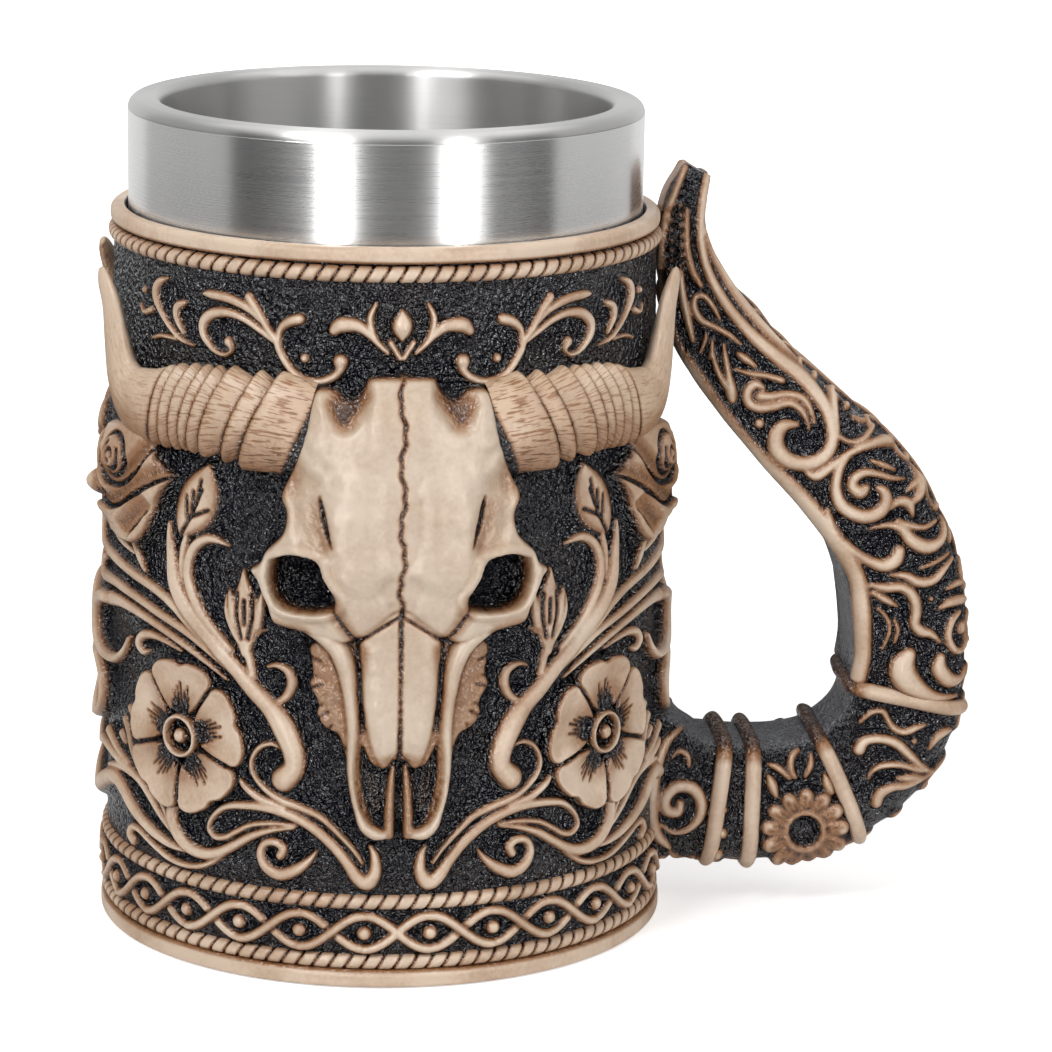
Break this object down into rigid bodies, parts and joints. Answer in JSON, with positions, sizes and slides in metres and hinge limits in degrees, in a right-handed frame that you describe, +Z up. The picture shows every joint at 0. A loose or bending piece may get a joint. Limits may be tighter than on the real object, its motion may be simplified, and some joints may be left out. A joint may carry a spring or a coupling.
{
  "type": "tankard with lift-out liner",
  "caption": "Cast-resin tankard with steer skulls, flowers and scrolls in relief, a horn-shaped handle and a double-wall steel liner that lifts out.",
  "frame": {"origin": "centre of the flat base, on the surface that the tankard stands on", "axes": "+Z up along the barrel's axis, -Y towards the front skull, +X towards the handle"},
  "size_m": [0.1539, 0.1098, 0.1427],
  "materials": {
    "black_resin": "pebbled gloss black wash over cast resin",
    "handle_resin": "bone-coloured carving over a black wash",
    "bone_resin": "bone-coloured cast resin with a brown wash in the hollows",
    "horn_resin": "tan cast resin with brown streaks",
    "steel": "brushed stainless steel"
  },
  "bodies": {
    "tankard": {"barrel": "black_resin", "handle": "handle_resin", "handle_band_foot": "bone_resin", "handle_band_lower": "bone_resin", "handle_band_bend": "bone_resin", "handle_band_grip": "bone_resin", "skull_front": "bone_resin", "skull_back": "bone_resin", "horn_front_left": "horn_resin", "horn_front_right": "horn_resin", "horn_back_left": "horn_resin", "horn_back_right": "horn_resin", "rose_front_left": "bone_resin", "rose_front_right": "bone_resin", "rose_back_left": "bone_resin", "rose_back_right": "bone_resin", "flower_front_left": "bone_resin", "flower_front_right": "bone_resin", "flower_back_left": "bone_resin", "flower_back_right": "bone_resin"},
    "liner": {"liner_cup": "steel", "liner_shell": "steel", "liner_base": "steel"}
  },
  "joints": [
    {"name": "liner_lift", "type": "slide", "parent": "tankard", "child": "liner", "axis": [0, 0, 1], "range_m": [0, 0.12]}
  ]
}
